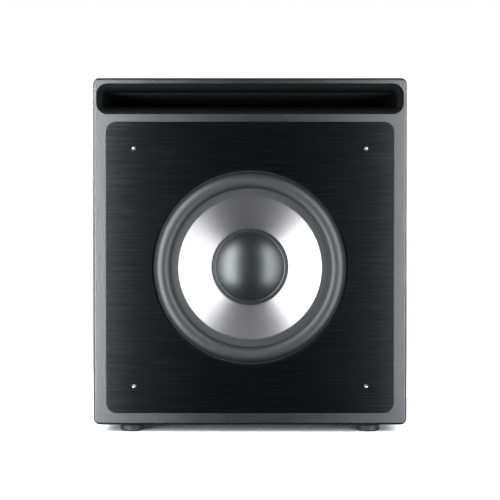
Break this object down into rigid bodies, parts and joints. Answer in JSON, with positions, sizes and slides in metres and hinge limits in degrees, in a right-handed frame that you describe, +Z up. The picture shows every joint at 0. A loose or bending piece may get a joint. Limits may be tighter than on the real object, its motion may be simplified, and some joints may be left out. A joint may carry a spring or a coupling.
{
  "type": "subwoofer",
  "caption": "Ported active subwoofer: a box cabinet with a wide slot port over a brushed front plate and metal-cone driver, and a plate amplifier at the rear.",
  "frame": {"origin": "centre of the whole object's footprint, on the floor under the feet", "axes": "+X to the right seen from the front, the driver faces -Y, +Z up"},
  "size_m": [0.454, 0.429, 0.514],
  "materials": {
    "cabinet_paint": "satin black textured paint on MDF",
    "raw_mdf": "bare MDF, sealed",
    "front_plate": "black anodised, brushed along X",
    "grille_pin": "black nickel, polished",
    "padding": "bonded polyester wadding",
    "rubber": "moulded black rubber",
    "surround_rubber": "satin nitrile rubber",
    "screw_black": "black zinc",
    "basket": "black powder coat on cast aluminium",
    "spider_cloth": "resin-treated woven cotton",
    "motor_steel": "zinc plated",
    "ferrite": "ground ferrite",
    "black_plastic": "moulded glass-filled nylon",
    "gold_contact": "gold plated",
    "copper_braid": "bare copper braid",
    "red_wire": "red silicone insulation",
    "black_wire": "black silicone insulation",
    "cone": "satin anodised, spun",
    "dust_cap": "dark satin anodised",
    "former": "polyimide",
    "coil_wire": "enamelled copper",
    "amp_metal": "black anodised, bead blasted",
    "zinc_sheet": "zinc plated sheet",
    "board": "green solder mask",
    "capacitor": "heat-shrink sleeve",
    "transformer": "polyester tape over copper",
    "nickel": "nickel plated",
    "red_plastic": "moulded red nylon",
    "knob": "moulded, soft touch",
    "rocker": "moulded, semi-gloss",
    "lamp": "diffused green lens",
    "fuse_glass": "clear tube"
  },
  "bodies": {
    "cabinet": {"front_baffle": "cabinet_paint", "rear_panel": "cabinet_paint", "top_panel": "cabinet_paint", "bottom_panel": "cabinet_paint", "left_side_panel": "cabinet_paint", "right_side_panel": "cabinet_paint", "port_shelf": "cabinet_paint", "window_brace": "raw_mdf", "front_plate": "front_plate", "grille_pins": "grille_pin", "damping_pads": "padding", "rubber_feet": "rubber", "foot_screws": "screw_black", "driver_basket": "basket", "surround": "surround_rubber", "spider": "spider_cloth", "driver_gasket": "rubber", "driver_screws": "screw_black", "magnet_top_plate": "motor_steel", "magnet_rings": "ferrite", "magnet_back_plate": "motor_steel", "magnet_boot": "rubber", "motor_screws": "screw_black", "terminal_block": "black_plastic", "terminal_tabs": "gold_contact", "tinsel_leads": "copper_braid", "red_speaker_lead": "red_wire", "black_speaker_lead": "black_wire", "amp_plate": "amp_metal", "heat_sink": "amp_metal", "amp_gasket": "rubber", "amp_screws": "screw_black", "amp_cover": "zinc_sheet", "circuit_board": "board", "filter_capacitors": "capacitor", "toroidal_transformer": "transformer", "transformer_clamp": "zinc_sheet", "control_pots": "nickel", "pot_nuts": "nickel", "line_in_shells": "nickel", "line_in_insulators": "red_plastic", "mains_inlet": "black_plastic", "mains_pins": "nickel", "power_switch_frame": "black_plastic", "mode_switch_frame": "nickel", "status_lamp": "lamp"},
    "moving_cone": {"cone": "cone", "dust_cap": "dust_cap", "voice_coil_former": "former", "voice_coil": "coil_wire"},
    "level_control": {"level_knob": "knob", "level_shaft": "nickel"},
    "crossover_control": {"crossover_knob": "knob", "crossover_shaft": "nickel"},
    "phase_control": {"phase_knob": "knob", "phase_shaft": "nickel"},
    "power_switch": {"power_rocker": "rocker"},
    "mode_switch": {"mode_slider": "black_plastic"},
    "fuse_holder": {"fuse_drawer": "black_plastic", "fuse": "fuse_glass"}
  },
  "joints": [
    {"name": "cone_travel", "type": "slide", "parent": "cabinet", "child": "moving_cone", "axis": [0, -1, 0], "range_m": [-0.012, 0.012], "stiffness_N_per_m": 6000, "deforming": ["surround", "spider", "tinsel_leads"]},
    {"name": "level_turn", "type": "hinge", "parent": "cabinet", "child": "level_control", "pos_m": [0.102, 0.19648, 0.34], "axis": [0, 1, 0], "range_deg": [-150, 150]},
    {"name": "crossover_turn", "type": "hinge", "parent": "cabinet", "child": "crossover_control", "pos_m": [0.048, 0.19648, 0.34], "axis": [0, 1, 0], "range_deg": [-150, 150]},
    {"name": "phase_turn", "type": "hinge", "parent": "cabinet", "child": "phase_control", "pos_m": [0.102, 0.19648, 0.284], "axis": [0, 1, 0], "range_deg": [-150, 150]},
    {"name": "rocker_tip", "type": "hinge", "parent": "cabinet", "child": "power_switch", "pos_m": [0.098, 0.19448, 0.11], "axis": [1, 0, 0], "range_deg": [0, 24]},
    {"name": "mode_slide", "type": "slide", "parent": "cabinet", "child": "mode_switch", "axis": [1, 0, 0], "range_m": [-0.0029, 0.0029]},
    {"name": "fuse_drawer_pull", "type": "slide", "parent": "cabinet", "child": "fuse_holder", "axis": [0, 1, 0], "range_m": [0, 0.014]}
  ]
}
